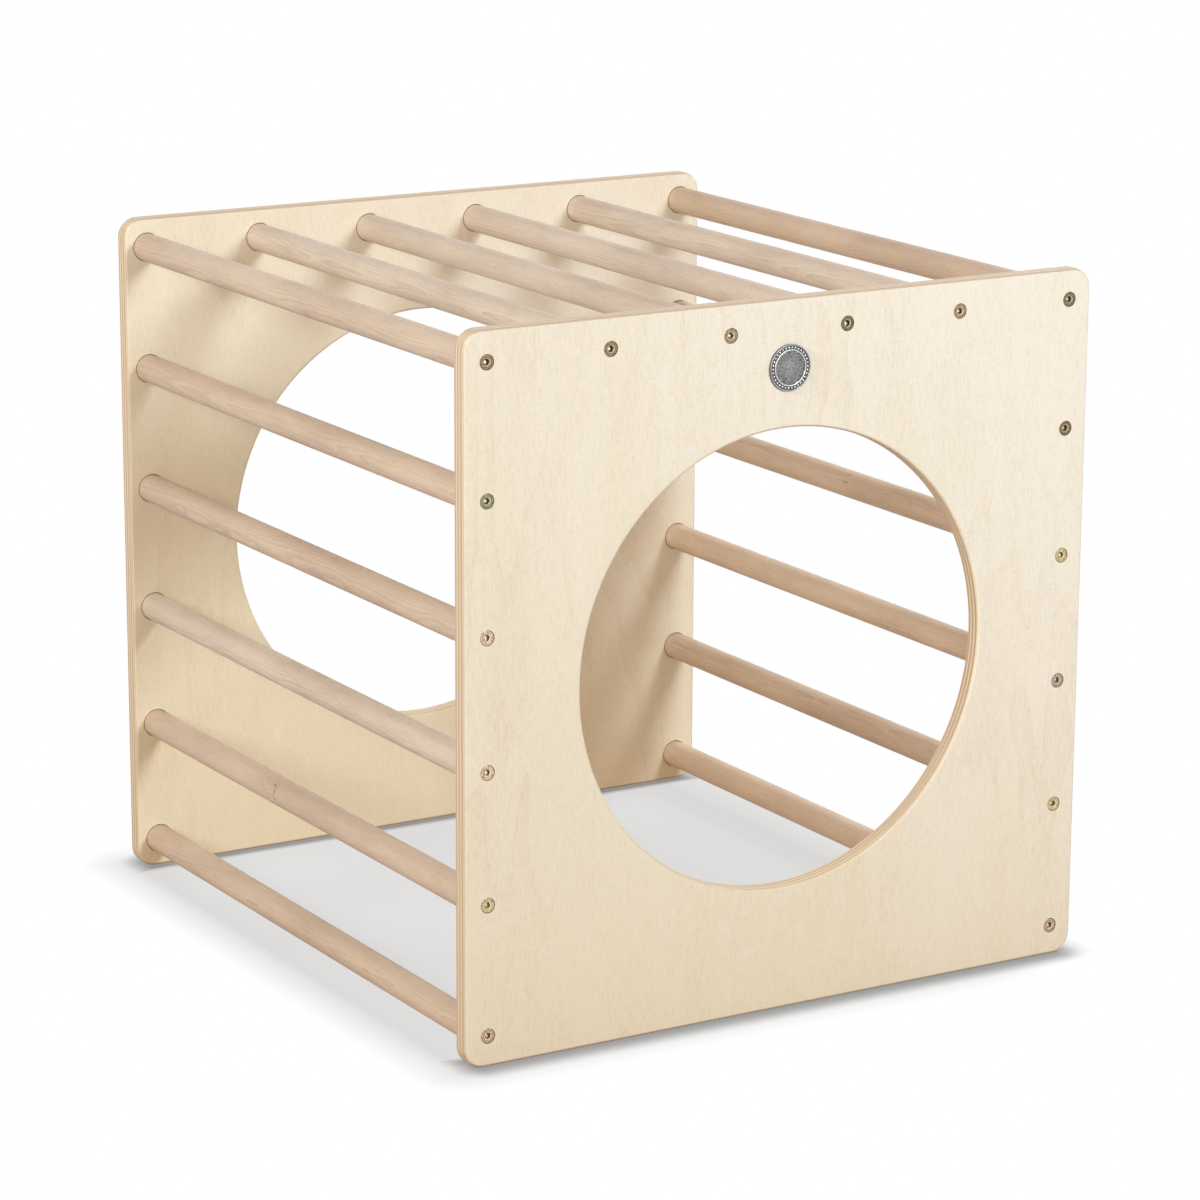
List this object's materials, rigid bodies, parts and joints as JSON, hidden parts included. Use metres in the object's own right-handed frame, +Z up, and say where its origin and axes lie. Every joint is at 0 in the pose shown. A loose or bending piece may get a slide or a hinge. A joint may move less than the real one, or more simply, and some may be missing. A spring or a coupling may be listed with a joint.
{
  "type": "play cube",
  "caption": "Climb-through play cube: two square plywood ends with a large round crawl hole, joined by round wooden rungs across the top and down both sides.",
  "frame": {"origin": "on the floor, in the middle of the cube's footprint", "axes": "+Z up; +Y from the front end panel, which has the badge, to the rear one, along the rungs; +X to the right, seen from the front"},
  "size_m": [0.7, 0.7387, 0.7],
  "materials": {
    "birch_ply": "clear matt lacquer on pale birch plywood, upright face grain, plies showing on every edge",
    "beech": "smooth clear satin lacquer on turned steamed beech, grain along the rung",
    "yellow_zinc": "steel, yellow zinc plated, from olive to copper in tone",
    "insert_brass": "plain turned brass",
    "pewter": "cast grey metal, dull, with polished rims",
    "pad_foam": "white adhesive foam, hidden"
  },
  "bodies": {
    "root": {"front_panel": "birch_ply", "rear_panel": "birch_ply", "top_rung_1": "beech", "top_rung_2": "beech", "top_rung_3": "beech", "top_rung_4": "beech", "top_rung_5": "beech", "top_rung_6": "beech", "left_rung_1": "beech", "left_rung_2": "beech", "left_rung_3": "beech", "left_rung_4": "beech", "left_rung_5": "beech", "right_rung_1": "beech", "right_rung_2": "beech", "right_rung_3": "beech", "right_rung_4": "beech", "right_rung_5": "beech", "front_screws": "yellow_zinc", "rear_screws": "yellow_zinc", "front_inserts": "insert_brass", "rear_inserts": "insert_brass", "badge": "pewter", "badge_pad": "pad_foam"}
  },
  "joints": []
}
